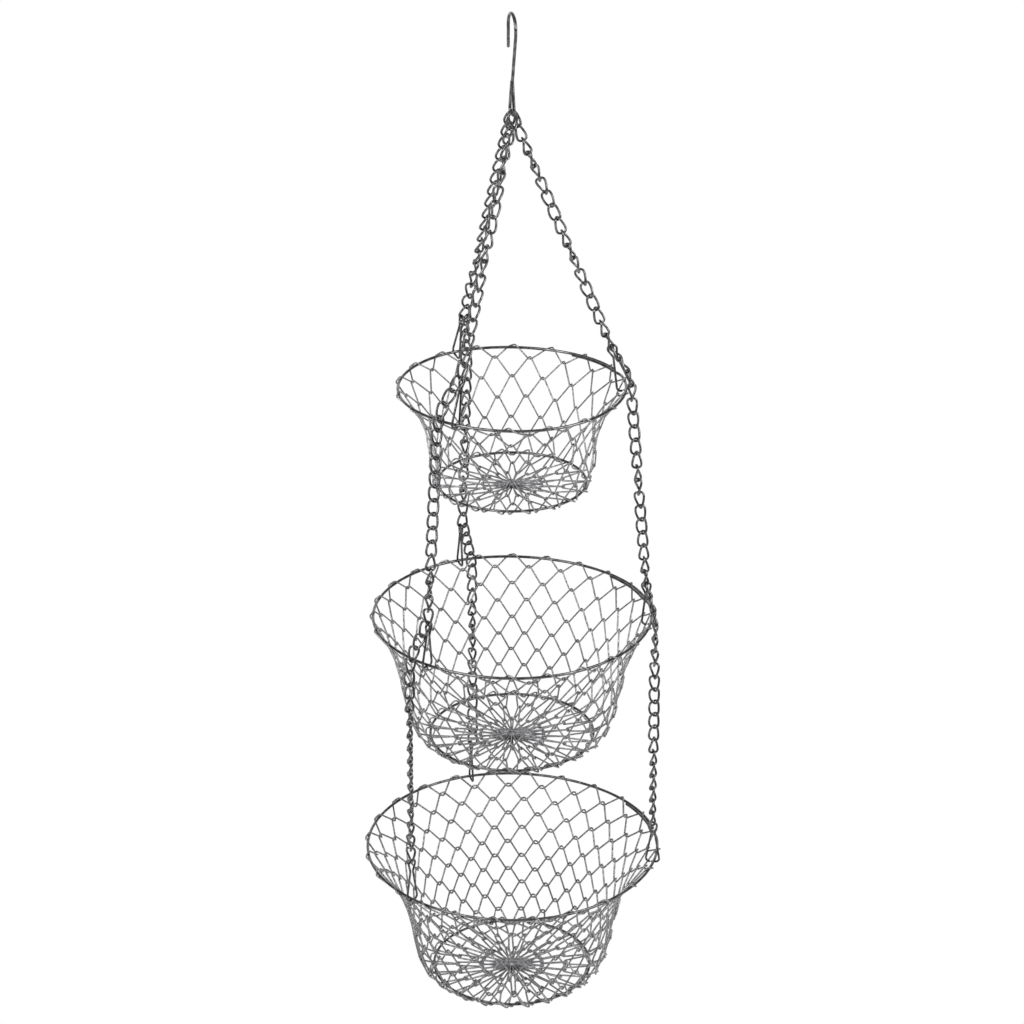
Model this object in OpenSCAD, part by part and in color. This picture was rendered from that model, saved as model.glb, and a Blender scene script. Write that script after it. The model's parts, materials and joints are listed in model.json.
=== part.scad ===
// Hanging three-tier wire basket: a hook, three twisted link chains, and three round bowls of
// diamond net. Millimetres, +Z up. The origin is the seat inside the top bend of the hook, and
// everything else hangs below it.

/* [Hook] */
// Thickness of the hook's wire
hook_wire = 2.8; // [2:0.1:4]
// Radius of the top bend, to the middle of the wire
hook_bend_r = 12; // [8:0.5:20]
// Straight length of the free tip below the bend
hook_tip = 20; // [5:1:32]
// Depth from the seat to the middle of the wire at the foot of the eye
hook_drop = 85; // [75:1:120]
// Length of the eye, from its neck to the middle of its foot
eye_len = 29; // [22:0.5:34]
// Width of the eye, between the middles of its sides
eye_w = 16; // [15:0.5:20]
// Turn of the hook about the vertical
hook_turn = 15; // [0:1:30]

/* [Chains] */
// Thickness of the chain wire
link_wire = 2; // [1.4:0.1:2.4]
// Outside length of a link
link_len = 17; // [15:0.1:20]
// Outside width of a link
link_w = 10.6; // [9.6:0.1:12]
// Links from the hook to the clips of the top bowl
upper_links = 18; // [14:1:24]
// Links from the rim of the top bowl to the clips of the middle bowl
middle_links = 14; // [14:1:20]
// Links from the rim of the middle bowl to the clips of the bottom bowl
lower_links = 15; // [14:1:20]

/* [Clips] */
// Thickness of the clip wire
clip_wire = 2; // [1.6:0.1:2.4]
// Height from the middle of the rim to the middle of the link wire that the clip hangs on
clip_h = 36; // [32:0.5:44]
// Width of the clip's eye, outside
clip_eye_w = 9.6; // [9:0.1:11]
// Width of the clip's foot, outside
clip_foot_w = 14.6; // [13:0.1:18]
// How far the foot's middle lies inside the rim
clip_inset = 2.2; // [1:0.1:3]

/* [Wires of the bowls] */
// Thickness of the rim wire
rim_wire = 2.6; // [2:0.1:3.2]
// Thickness of the base ring's wire
base_wire = 2.4; // [2:0.1:3.6]
// Thickness of the ring wire at the middle of the floor
centre_wire = 2; // [1.4:0.1:2.4]
// Radius of the ring at the middle of the floor
centre_r = 9; // [8:0.5:12]
// Thickness of the net wire
net_wire = 1.5; // [1:0.1:1.6]

/* [Top bowl] */
// Radius of the rim
top_rim_r = 100; // [92:1:112]
// Radius that the wall is drawn in towards below the rim
top_waist_r = 58; // [50:1:70]
// Radius that the wall swells out towards above the base ring
top_belly_r = 82; // [74:1:92]
// Radius of the base ring
top_base_r = 66; // [58:1:72]
// Depth from the rim to the base ring
top_depth = 90; // [80:1:110]
// Diamonds around the net, as many between each two clips
top_meshes = 18; // [15:3:21]
// Rings of zigzag wire in the wall
top_wall_rows = 6; // [5:1:7]
// Height of the ring below the rim, as a share of the others
top_first_ring = 0.55; // [0.5:0.05:1]
// How far the clip eyes lie inside the rim
top_lean = 13; // [8:0.5:16]

/* [Middle bowl] */
// Radius of the rim
mid_rim_r = 126; // [118:1:134]
// Radius that the wall is drawn in towards below the rim
mid_waist_r = 88; // [80:1:98]
// Radius that the wall swells out towards above the base ring
mid_belly_r = 106; // [98:1:114]
// Radius of the base ring
mid_base_r = 75; // [68:1:82]
// Depth from the rim to the base ring
mid_depth = 120; // [110:1:135]
// Diamonds around the net, as many between each two clips
mid_meshes = 24; // [21:3:27]
// Rings of zigzag wire in the wall
mid_wall_rows = 9; // [7:1:10]
// Height of the ring below the rim, as a share of the others
mid_first_ring = 0.6; // [0.5:0.05:1]
// How far the clip eyes lie inside the rim
mid_lean = 5; // [3:0.5:8]

/* [Bottom bowl] */
// Radius of the rim
low_rim_r = 135.5; // [128:0.5:145]
// Radius that the wall is drawn in towards below the rim
low_waist_r = 80; // [72:1:92]
// Radius that the wall swells out towards above the base ring
low_belly_r = 104; // [96:1:114]
// Radius of the base ring
low_base_r = 74; // [68:1:82]
// Depth from the rim to the base ring
low_depth = 130; // [120:1:145]
// Diamonds around the net, as many between each two clips
low_meshes = 24; // [21:3:27]
// Rings of zigzag wire in the wall
low_wall_rows = 11; // [9:1:12]
// Height of the ring below the rim, as a share of the others
low_first_ring = 0.85; // [0.5:0.05:1]
// How far the clip eyes lie inside the rim
low_lean = 2.5; // [1:0.5:5]

/* [Hidden] */

// Free play between two wires that bear on each other
play = 0.3;
// From one joint between links to the next
pitch = link_len - 2 * link_wire - play;
// From the middle of a wire to the middle of the wire that hangs on it
link_seat = link_wire + play;
eye_seat = (hook_wire + link_wire) / 2 + play;
// Where the three chains hang around a bowl, in degrees: right, front left and back left
SIDES = [0, -120, 120];
// Links that run from a clip down past the rim, and the share that each has of the way out and aside
pass_links = 4;
pass_out = [0.42, 0.36, 0.22, 0];
pass_aside = [0.22, 0.34, 0.26, 0.18];
// How far these links move aside in all, to clear the clip
pass_side = 12;
// How far outside the rim wire's middle the chain passes
pass_clear = (rim_wire + link_w - link_wire) / 2;
// Distance of the chain and of the clip from the middle of the link that carries both
share_side = (link_wire + clip_wire) / 4 + play;
// Height at which a wire then sits on the round bend of that link
bend_r = (link_w - link_wire) / 2;
function share_seat(wire) = bend_r - drop(bend_r - (link_wire + wire) / 2 - play, share_side);
// From one end link to the next along the foot of the eye: they lean apart and need room
eye_step = link_wire * 1.8;

// Heights, as shares of a bowl's depth, of the points that draw its wall in and out
waist_level = 0.4;
belly_level = 0.97;
// Rings of zigzag wire in each floor, and how far its middle sags
floor_rows = 3;
floor_sag = 3;
// Half the length of a net wire's bend at a crossing, and how far it reaches past its middle
bend_half = 1.5;
bend_lap = 1.3;
// Half the length of a wider bend, over the rim and around the base ring
rim_bend_half = 3;
base_bend_half = 3;
// Distance of the outer and the inner legs of the net from its middle surface
net_half = net_wire / 2 + 0.2;
// Radius of the corners of the three-sided net wire
net_corner = net_wire * 0.6;
// A straight wire runs this far into a bend, which is thicker by this factor
bend_seat = 0.2;
bend_swell = 1.012;
// Shortest straight between two bends
bend_gap = 0.6;
// Points along a wall's curve
curve_steps = 40;
// Facets of round forms: the girth of a wire, a bend and a full ring
girth_fn = 24;
bend_fn = 48;
ring_fn = 120;
steel = "silver";
dark_steel = "dimgray";
pale_steel = "lightgray";

// Vectors
function unit(v) = v / norm(v);
function flat(v) = [v[0], v[1], 0];
function square_to(v, d) = unit(v - (v * d) * d);
function out(a) = [cos(a), sin(a), 0];
function aside(a) = [sin(a), -cos(a), 0];
// How far down a length reaches when its ends lie apart sideways
function drop(length, apart) = sqrt(length * length - apart * apart);

// The foot of the hook's eye, and the place of each chain's end link on it
eye_foot = [0, 0, -hook_drop];
eye_along = [-sin(hook_turn), cos(hook_turn), 0];
function eye_point(i) = eye_foot + [0, -1, 1][i] * eye_step * eye_along;

// A bowl holds: rim radius, lean of the clips, height of the rim, turn about the vertical
function rim_point(b, i) = b[0] * out(SIDES[i] + b[3]) + [0, 0, b[2]];
// The middle of the link wire that a clip hangs on
function carry_point(b, i) = (b[0] - b[1]) * out(SIDES[i] + b[3]) + [0, 0, b[2] + clip_h];
// Steps from joint to joint of the links that pass the rim
function pass_step(b, i, k) =
  let (
    o = (b[1] + pass_clear) * pass_out[k],
    s = pass_side * pass_aside[k]
  )
  o * out(SIDES[i] + b[3]) + s * aside(SIDES[i] + b[3]) - [0, 0, drop(pitch, norm([o, s]))];
function pass_joint(b, i, k) =
  k < 1
  ? carry_point(b, i)
    + share_side * aside(SIDES[i] + b[3])
    - share_seat(link_wire) * square_to(pass_step(b, i, 0), aside(SIDES[i] + b[3]))
    + link_seat / 2 * unit(pass_step(b, i, 0))
  : pass_joint(b, i, k - 1) + pass_step(b, i, k - 1);
// The joint where the chain to the next bowl begins, its radius and its turn
function leave(b, i) = pass_joint(b, i, pass_links);
function leave_r(b) = norm(flat(leave(b, 0)));
function leave_turn(b) = atan2(leave(b, 0)[1], leave(b, 0)[0]);

// The three bowls, each hung from the one above by its count of links
upper_reach = upper_links * pitch + link_seat - eye_seat;
TOP = [
  top_rim_r,
  top_lean,
  eye_foot[2] - drop(upper_reach, top_rim_r - top_lean) - clip_h,
  0
];
MID = [
  mid_rim_r,
  mid_lean,
  leave(TOP, 0)[2]
    - drop(middle_links * pitch + link_seat / 2, mid_rim_r - mid_lean - leave_r(TOP))
    - clip_h,
  leave_turn(TOP)
];
LOW = [
  low_rim_r,
  low_lean,
  leave(MID, 0)[2]
    - drop(lower_links * pitch + link_seat / 2, low_rim_r - low_lean - leave_r(MID))
    - clip_h,
  leave_turn(MID)
];

// A chain: first joint, last joint, count of links, width of its first link and of its last
function upper(i) =
  let (d = unit(carry_point(TOP, i) - eye_point(i)))
  [
    eye_point(i) - (eye_seat - link_seat / 2) * d,
    carry_point(TOP, i) - link_seat / 2 * d,
    upper_links,
    unit(cross(eye_along, d)),
    square_to(aside(SIDES[i] + TOP[3]), d)
  ];
function hung(from, to, i, count) =
  let (
    a = leave(from, i),
    c = carry_point(to, i),
    d = unit(c - a)
  )
  [
    a,
    c - link_seat / 2 * d,
    count,
    square_to(out(SIDES[i] + to[3]), d),
    square_to(aside(SIDES[i] + to[3]), d)
  ];

// Places a child's X along x and its Z along z at a point
module along(p, x, z) {
  y = cross(z, x);
  multmatrix([
    [x[0], y[0], z[0], p[0]],
    [x[1], y[1], z[1], p[1]],
    [x[2], y[2], z[2], p[2]],
    [0, 0, 0, 1]
  ])
    children();
}

// One link: length along X, width along Z
module link() {
  straight = link_len - link_w;
  for (end = [0, 180])
    rotate([90, 0, 0])
      rotate([0, 0, end]) {
        translate([straight / 2, 0, 0])
          rotate([0, 0, -90])
            rotate_extrude(angle = 180, $fn = bend_fn)
              translate([bend_r, 0])
                circle(d = link_wire, $fn = girth_fn);
        translate([0, bend_r, 0])
          rotate([0, 90, 0])
            cylinder(d = link_wire, h = straight, center = true, $fn = girth_fn);
      }
}

// Links first to last of a chain, each a quarter turn on from the one before
module links(c, first, last) {
  step = (c[1] - c[0]) / c[2];
  d = unit(step);
  across = cross(d, c[3]);
  whole = atan2(c[4] * across, c[4] * c[3]);
  plain = (c[2] - 1) * 90;
  turn = (plain + ((whole - plain + 90) % 180 + 180) % 180 - 90) / (c[2] - 1);
  for (k = [first : last])
    along(c[0] + (k + 0.5) * step, d, cos(k * turn) * c[3] + sin(k * turn) * across)
      link();
}

// The link that a clip hangs on and, where the chain goes on, the links that pass the rim
module anchor(c, b, i, count) {
  links(c, c[2] - 1, c[2] - 1);
  if (count > 0)
    for (k = [0 : count - 1]) {
      step = pass_step(b, i, k);
      way = k % 2 == 0 ? out(SIDES[i] + b[3]) : aside(SIDES[i] + b[3]);
      along(pass_joint(b, i, k) + step / 2, unit(step), square_to(way, unit(step)))
        link();
    }
}

// A wire bent in the XZ plane through points [x, z, bend radius]
module bent_wire(points, d) {
  n = len(points);
  // Unit steps, turns and the length that each bend takes off its two straights
  ways = [for (i = [0 : n - 2]) unit([for (c = [0, 1]) points[i + 1][c] - points[i][c]])];
  angles = [
    for (i = [0 : n - 1])
      i == 0 || i == n - 1
      ? 0
      : atan2(
          ways[i - 1][0] * ways[i][1] - ways[i - 1][1] * ways[i][0],
          ways[i - 1] * ways[i]
        )
  ];
  cuts = [for (i = [0 : n - 1]) points[i][2] * tan(abs(angles[i]) / 2)];
  for (i = [0 : n - 2]) {
    a = [points[i][0], points[i][1]] + (i > 0 ? cuts[i] - bend_seat : 0) * ways[i];
    b = [points[i + 1][0], points[i + 1][1]] - (i < n - 2 ? cuts[i + 1] - bend_seat : 0) * ways[i];
    translate([a[0], 0, a[1]])
      rotate([0, 90 - atan2(ways[i][1], ways[i][0]), 0])
        cylinder(d = d, h = norm(b - a), $fn = girth_fn);
  }
  for (i = [1 : n - 2]) {
    way = ways[i - 1];
    hand = sign(angles[i]);
    start = [points[i][0], points[i][1]] - cuts[i] * way;
    middle = start + hand * points[i][2] * [-way[1], way[0]];
    first = atan2(start[1] - middle[1], start[0] - middle[0]);
    translate([middle[0], 0, middle[1]])
      rotate([90, 0, 0])
        rotate([0, 0, hand > 0 ? first : first + angles[i]])
          rotate_extrude(angle = abs(angles[i]), $fn = bend_fn)
            translate([points[i][2], 0])
              circle(d = d * bend_swell, $fn = girth_fn);
  }
}

// The hook: free tip, top bend over the seat, leaning shank and closed eye
module hook() {
  top = hook_wire / 2;
  neck_z = eye_foot[2] + eye_len;
  neck_x = hook_wire / 2;
  shank_z = top - hook_bend_r - 4;
  corner = hook_bend_r / 2;
  color(dark_steel)
    rotate([0, 0, 90 + hook_turn])
      bent_wire([
        [hook_bend_r, top - hook_bend_r - hook_tip, 0],
        [hook_bend_r, top, hook_bend_r - bend_gap / 2],
        [-hook_bend_r, top, hook_bend_r - bend_gap / 2],
        [-hook_bend_r, shank_z, corner],
        [-neck_x, neck_z, corner],
        [-eye_w / 2, eye_foot[2], eye_w * 0.28],
        [eye_w / 2, eye_foot[2], eye_w * 0.28],
        [neck_x * 0.4, neck_z, 0]
      ], hook_wire);
}

// A clip: a small eye over a neck and a wide foot that passes under the rim
module clip(b, i) {
  foot = rim_point(b, i);
  span = carry_point(b, i) - foot;
  a = SIDES[i] + b[3];
  top = norm(span) + share_seat(clip_wire);
  eye_r = (clip_eye_w - clip_wire) / 2;
  neck = [clip_wire * 0.8, top - 3 * eye_r];
  // The side of the eye runs from the neck, tangent to the eye's round top
  to_middle = [0, top - eye_r] - neck;
  slope = atan2(to_middle[1], to_middle[0]) - asin(eye_r / norm(to_middle));
  eye_corner = neck[0] + (top - neck[1]) / tan(slope);
  foot_z = -(rim_wire + clip_wire) / 2 - play;
  foot_r = clip_foot_w * 0.24;
  foot_half = (clip_foot_w - clip_wire) / 2 + 0.6;
  along(foot - share_side * aside(a), out(a) - (out(a) * unit(span)) * unit(span), unit(span))
    bent_wire([
      [-clip_wire * 0.7 - clip_inset, foot_z, 0],
      [foot_half - clip_inset, foot_z, foot_r],
      [neck[0], neck[1], clip_wire * 2],
      [eye_corner + bend_gap / 2, top, eye_r],
      [-eye_corner - bend_gap / 2, top, eye_r],
      [-neck[0], neck[1], clip_wire * 2],
      [-foot_half - clip_inset, foot_z, foot_r],
      [-clip_wire * 1.6 - clip_inset, foot_z, 0]
    ], clip_wire);
}

// A plain ring of wire about the vertical
module ring(r, d, z) {
  translate([0, 0, z])
    rotate_extrude($fn = ring_fn)
      translate([r, 0])
        circle(d = d, $fn = girth_fn);
}

// The wall's curve as [r, z] below the rim, for t from 0 at the rim to 1 at the base ring
function wall_at(w, t) =
  let (s = 1 - t)
  s * s * s * [w[0], 0]
  + 3 * s * s * t * [w[1], -w[4] * waist_level]
  + 3 * s * t * t * [w[2], -w[4] * belly_level]
  + t * t * t * [w[3], -w[4]];
// Lengths along that curve, paired with t
function wall_lengths(w) = [
  for (
    k = 0, s = 0;
    k <= curve_steps;
    s = s + norm(wall_at(w, (k + 1) / curve_steps) - wall_at(w, k / curve_steps)), k = k + 1
  )
    [s, k / curve_steps]
];

// A row of crossings: [r, z], way along the net, lap of the bends, distance of the legs and half
// the length of a bend
function row(p, way, ring_wire, half) =
  let (wrap = ring_wire / 2 + net_corner + play)
  [p, way, ring_wire > 0 ? wrap : bend_lap, ring_wire > 0 ? wrap : net_half, half];
function wall_rows(w) =
  let (
    n = w[6],
    lengths = wall_lengths(w),
    share = lengths[curve_steps][0] / (n - 1 + w[7]),
    spots = [for (j = [0 : n]) wall_at(w, lookup(j == 0 ? 0 : share * (j - 1 + w[7]), lengths))]
  )
  [
    for (j = [0 : n])
      row(
        spots[j],
        unit(spots[min(n, j + 1)] - spots[max(0, j - 1)]),
        j == 0 ? rim_wire : j == n ? base_wire : 0,
        j == 0 ? rim_bend_half : j == n ? base_bend_half : bend_half
      )
  ];
function floor_rows_of(w) = [
  for (j = [0 : floor_rows])
    let (t = j / floor_rows)
    row(
      [w[3] + t * (centre_r - w[3]), -w[4] - floor_sag * t * (2 - t)],
      unit([centre_r - w[3], -2 * floor_sag * (1 - t)]),
      j == 0 ? base_wire : j == floor_rows ? centre_wire : 0,
      j == 0 ? base_bend_half : bend_half
    )
];

// One point of a net wire and the outward way of the net there
function net_point(q, a, lap, layer) =
  let (
    p = q[0] + lap * q[2] * q[1],
    face = [-q[1][1], q[1][0]],
    s = p + layer * q[3] * face
  )
  [
    [s[0] * cos(a), s[0] * sin(a), s[1]],
    [face[0] * cos(a), face[0] * sin(a), face[1]]
  ];
// Half a bend's angle in a row
function bend_angle(q, step) = min(q[4] / q[0][0] * 180 / PI, step * 0.22);
// A ring of zigzag wire between two rows: bends run in to out at the top, out to in at the foot
function zigzag(upper, lower, count, first) =
  let (
    step = 360 / count,
    u = bend_angle(upper, step),
    l = bend_angle(lower, step)
  )
  [
    for (k = [0 : count - 1])
      let (a = first + k * step)
      each [
        net_point(upper, a - u, -1, -1),
        net_point(upper, a + u, -1, 1),
        net_point(lower, a + step / 2 - l, 1, 1),
        net_point(lower, a + step / 2 + l, 1, -1)
      ]
  ];
// Corners of a closed three-sided wire along such points
function wire_corners(path) =
  let (n = len(path))
  [
    for (i = [0 : n - 1])
      let (
        p = path[i][0],
        t = unit(unit(path[(i + 1) % n][0] - p) + unit(p - path[(i + n - 1) % n][0])),
        face = square_to(path[i][1], t),
        side = cross(t, face)
      )
      for (c = [0 : 2])
        p + net_corner * (cos(120 * c) * face + sin(120 * c) * side)
  ];
function wire_faces(n, base) = [
  for (i = [0 : n - 1])
    for (c = [0 : 2])
      let (
        p = base + 3 * i,
        q = base + 3 * ((i + 1) % n),
        d = (c + 1) % 3
      )
      each [
        [p + c, q + c, q + d],
        [p + c, q + d, p + d]
      ]
];

// A net: one closed zigzag wire between each two rows, hooked through its neighbours
module net(rows, count, first, z) {
  paths = [
    for (j = [1 : len(rows) - 1])
      zigzag(rows[j - 1], rows[j], count, first + (j - 1) * 180 / count)
  ];
  corners = [for (path = paths) each wire_corners(path)];
  faces = [for (j = [0 : len(paths) - 1]) each wire_faces(4 * count, j * 12 * count)];
  translate([0, 0, z])
    polyhedron(points = corners, faces = faces, convexity = 10);
}
// The bends on the rim lie evenly on both sides of each clip
function first_bend(b, count) = b[3] + 180 / count;
module wall_net(b, w) {
  net(wall_rows(w), w[5], first_bend(b, w[5]), b[2]);
}
// The floor's outer bends lie halfway between the wall's lowest ones
module floor_net(b, w) {
  net(floor_rows_of(w), w[5], first_bend(b, w[5]) + (w[6] + 1) * 180 / w[5], b[2]);
}

// A bowl's shape: rim, waist, belly and base radius, depth, diamonds around, rings of wire in the
// wall and the share of the first ring
TOP_FORM = [
  top_rim_r, top_waist_r, top_belly_r, top_base_r, top_depth,
  top_meshes, top_wall_rows, top_first_ring
];
MID_FORM = [
  mid_rim_r, mid_waist_r, mid_belly_r, mid_base_r, mid_depth,
  mid_meshes, mid_wall_rows, mid_first_ring
];
LOW_FORM = [
  low_rim_r, low_waist_r, low_belly_r, low_base_r, low_depth,
  low_meshes, low_wall_rows, low_first_ring
];

module upper_chain(i) {
  color(steel)
    links(upper(i), 0, upper_links - 2);
}
module upper_chain_right() { upper_chain(0); }
module upper_chain_front() { upper_chain(1); }
module upper_chain_back() { upper_chain(2); }

module top_anchor(i) {
  color(steel)
    anchor(upper(i), TOP, i, pass_links);
}
module top_anchor_right() { top_anchor(0); }
module top_anchor_front() { top_anchor(1); }
module top_anchor_back() { top_anchor(2); }

module top_clip_right() { color(dark_steel) clip(TOP, 0); }
module top_clip_front() { color(dark_steel) clip(TOP, 1); }
module top_clip_back() { color(dark_steel) clip(TOP, 2); }

module top_rim() { color(steel) ring(top_rim_r, rim_wire, TOP[2]); }
module top_wall_net() { color(pale_steel) wall_net(TOP, TOP_FORM); }
module top_base_ring() { color(steel) ring(top_base_r, base_wire, TOP[2] - top_depth); }
module top_floor_net() { color(pale_steel) floor_net(TOP, TOP_FORM); }
module top_centre_ring() { color(steel) ring(centre_r, centre_wire, TOP[2] - top_depth - floor_sag); }

module mid_chain(i) {
  color(steel)
    links(hung(TOP, MID, i, middle_links), 0, middle_links - 2);
}
module mid_chain_right() { mid_chain(0); }
module mid_chain_front() { mid_chain(1); }
module mid_chain_back() { mid_chain(2); }

module mid_anchor(i) {
  color(steel)
    anchor(hung(TOP, MID, i, middle_links), MID, i, pass_links);
}
module mid_anchor_right() { mid_anchor(0); }
module mid_anchor_front() { mid_anchor(1); }
module mid_anchor_back() { mid_anchor(2); }

module mid_clip_right() { color(dark_steel) clip(MID, 0); }
module mid_clip_front() { color(dark_steel) clip(MID, 1); }
module mid_clip_back() { color(dark_steel) clip(MID, 2); }

module mid_rim() { color(steel) ring(mid_rim_r, rim_wire, MID[2]); }
module mid_wall_net() { color(pale_steel) wall_net(MID, MID_FORM); }
module mid_base_ring() { color(steel) ring(mid_base_r, base_wire, MID[2] - mid_depth); }
module mid_floor_net() { color(pale_steel) floor_net(MID, MID_FORM); }
module mid_centre_ring() { color(steel) ring(centre_r, centre_wire, MID[2] - mid_depth - floor_sag); }

module low_chain(i) {
  color(steel)
    links(hung(MID, LOW, i, lower_links), 0, lower_links - 2);
}
module low_chain_right() { low_chain(0); }
module low_chain_front() { low_chain(1); }
module low_chain_back() { low_chain(2); }

module low_anchor(i) {
  color(steel)
    anchor(hung(MID, LOW, i, lower_links), LOW, i, 0);
}
module low_anchor_right() { low_anchor(0); }
module low_anchor_front() { low_anchor(1); }
module low_anchor_back() { low_anchor(2); }

module low_clip_right() { color(dark_steel) clip(LOW, 0); }
module low_clip_front() { color(dark_steel) clip(LOW, 1); }
module low_clip_back() { color(dark_steel) clip(LOW, 2); }

module low_rim() { color(steel) ring(low_rim_r, rim_wire, LOW[2]); }
module low_wall_net() { color(pale_steel) wall_net(LOW, LOW_FORM); }
module low_base_ring() { color(steel) ring(low_base_r, base_wire, LOW[2] - low_depth); }
module low_floor_net() { color(pale_steel) floor_net(LOW, LOW_FORM); }
module low_centre_ring() { color(steel) ring(centre_r, centre_wire, LOW[2] - low_depth - floor_sag); }

hook();
upper_chain_right();
upper_chain_front();
upper_chain_back();
top_anchor_right();
top_anchor_front();
top_anchor_back();
top_clip_right();
top_clip_front();
top_clip_back();
top_rim();
top_wall_net();
top_base_ring();
top_floor_net();
top_centre_ring();
mid_chain_right();
mid_chain_front();
mid_chain_back();
mid_anchor_right();
mid_anchor_front();
mid_anchor_back();
mid_clip_right();
mid_clip_front();
mid_clip_back();
mid_rim();
mid_wall_net();
mid_base_ring();
mid_floor_net();
mid_centre_ring();
low_chain_right();
low_chain_front();
low_chain_back();
low_anchor_right();
low_anchor_front();
low_anchor_back();
low_clip_right();
low_clip_front();
low_clip_back();
low_rim();
low_wall_net();
low_base_ring();
low_floor_net();
low_centre_ring();
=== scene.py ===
# %% [markdown]
# # A hanging fruit basket in three tiers
#
# The real thing is nothing but wire: a hook, three curb-link chains, nine spring clips, and three
# bowls of hooked diamond net. The solids that carry and collide are made elsewhere and come in
# here as a fixed frame. This file gives each wire its true round section, its twist and its
# plated finish, and it sets up the light and the camera. The frame is in metres, and the sizes
# below are in millimetres unless they say otherwise.

import json
import math

import bpy
import numpy as np
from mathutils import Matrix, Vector


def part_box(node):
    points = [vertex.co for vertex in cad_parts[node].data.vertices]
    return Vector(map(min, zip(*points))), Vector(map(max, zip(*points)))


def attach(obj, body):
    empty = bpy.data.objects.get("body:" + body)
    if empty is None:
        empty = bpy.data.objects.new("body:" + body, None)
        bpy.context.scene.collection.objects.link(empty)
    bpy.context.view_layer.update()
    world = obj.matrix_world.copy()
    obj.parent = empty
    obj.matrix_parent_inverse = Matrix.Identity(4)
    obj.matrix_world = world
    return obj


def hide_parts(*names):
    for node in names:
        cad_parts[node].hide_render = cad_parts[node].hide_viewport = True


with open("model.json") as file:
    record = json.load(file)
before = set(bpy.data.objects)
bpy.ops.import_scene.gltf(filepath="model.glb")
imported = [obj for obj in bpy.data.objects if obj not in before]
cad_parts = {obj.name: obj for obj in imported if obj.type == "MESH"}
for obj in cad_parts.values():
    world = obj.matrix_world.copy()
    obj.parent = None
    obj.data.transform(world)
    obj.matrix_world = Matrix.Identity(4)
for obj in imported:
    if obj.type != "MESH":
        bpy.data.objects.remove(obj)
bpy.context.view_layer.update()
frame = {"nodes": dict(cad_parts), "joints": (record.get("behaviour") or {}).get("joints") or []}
MM = 0.001

# %% [markdown]
# ## Small helpers
#
# Every shader and every Geometry Nodes tree below is built in code. One function adds a node,
# sets what it can and links or fills its inputs. Colours are written as sRGB hex, the way a paint
# chart or an image editor gives them, and one function turns them to the linear values that
# Blender computes with.


# %% Node, colour and object helpers
def put(tree, kind, settings=None, feeds=None):
    """Adds a node. settings are its properties; feeds are inputs by name or number."""
    made = tree.nodes.new(kind)
    for name, value in (settings or {}).items():
        setattr(made, name, value)
    for key, value in (feeds or {}).items():
        if isinstance(value, bpy.types.NodeSocket):
            tree.links.new(value, made.inputs[key])
        else:
            made.inputs[key].default_value = value
    return made


def linear(hex_colour):
    """An sRGB hex colour as linear RGBA."""
    parts = [int(hex_colour[k : k + 2], 16) / 255 for k in (1, 3, 5)]
    return [p / 12.92 if p <= 0.04045 else ((p + 0.055) / 1.055) ** 2.4 for p in parts] + [1.0]


def empty_nodes(owner):
    """The cleared node tree of a material or a world."""
    owner.use_nodes = True
    owner.node_tree.nodes.clear()
    return owner.node_tree


def in_scene(name, data):
    """A new object of a mesh, a lamp or a camera, linked to the scene."""
    made = bpy.data.objects.new(name, data)
    bpy.context.scene.collection.objects.link(made)
    return made


# %% [markdown]
# ## Starting and ending a Geometry Nodes tree
#
# Each tree has its sizes as named inputs, so one tree serves thick and thin wire. Each ends the
# same way: its instances become real mesh, because an exporter drops instances, and its faces
# get their material.


# %% Both ends of a tree
def new_tree(name, sizes):
    """An empty tree with named inputs; returns it with its two end nodes."""
    tree = bpy.data.node_groups.new(name, "GeometryNodeTree")
    tree.interface.new_socket("Geometry", in_out="INPUT", socket_type="NodeSocketGeometry")
    tree.interface.new_socket("Geometry", in_out="OUTPUT", socket_type="NodeSocketGeometry")
    for title, kind in sizes.items():
        tree.interface.new_socket(title, in_out="INPUT", socket_type="NodeSocket" + kind)
    return tree, tree.nodes.new("NodeGroupInput"), tree.nodes.new("NodeGroupOutput")


def close_tree(tree, shape, given, result):
    """Makes a tree's shape real, gives it its finish and sends it out."""
    real = put(tree, "GeometryNodeRealizeInstances", feeds={"Geometry": shape})
    finished = put(
        tree,
        "GeometryNodeSetMaterial",
        feeds={"Geometry": real.outputs["Geometry"], "Material": given.outputs["Finish"]},
    )
    tree.links.new(finished.outputs["Geometry"], result.inputs["Geometry"])
    print(tree.name, "has", len(tree.nodes), "nodes")


# %% [markdown]
# ## A tree that gives a path its wire
#
# A drawn wire has one round section along its whole length, so each wire starts as a bare line of
# points. The tree turns lines into curves, sweeps a circle along them and shrinks it at the ends
# with a stored thickness, which rounds a cut end. Closed lines, such as rings and net wires, come
# out closed.

# %% The wire tree
WIRE_TREE, given, result = new_tree(
    "wire_along_path", {"Wire radius": "Float", "Sides": "Int", "Finish": "Material"}
)
curve = put(WIRE_TREE, "GeometryNodeMeshToCurve", feeds={"Mesh": given.outputs["Geometry"]})
section = put(
    WIRE_TREE,
    "GeometryNodeCurvePrimitiveCircle",
    feeds={"Resolution": given.outputs["Sides"], "Radius": given.outputs["Wire radius"]},
)
girth = put(
    WIRE_TREE, "GeometryNodeInputNamedAttribute", {"data_type": "FLOAT"}, {"Name": "girth"}
)
swept = put(
    WIRE_TREE,
    "GeometryNodeCurveToMesh",
    feeds={
        "Curve": curve.outputs["Curve"],
        "Profile Curve": section.outputs["Curve"],
        "Scale": girth.outputs["Attribute"],
        "Fill Caps": True,
    },
)
smooth = put(WIRE_TREE, "GeometryNodeSetShadeSmooth", feeds={"Geometry": swept.outputs["Mesh"]})
close_tree(WIRE_TREE, smooth.outputs["Geometry"], given, result)

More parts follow.
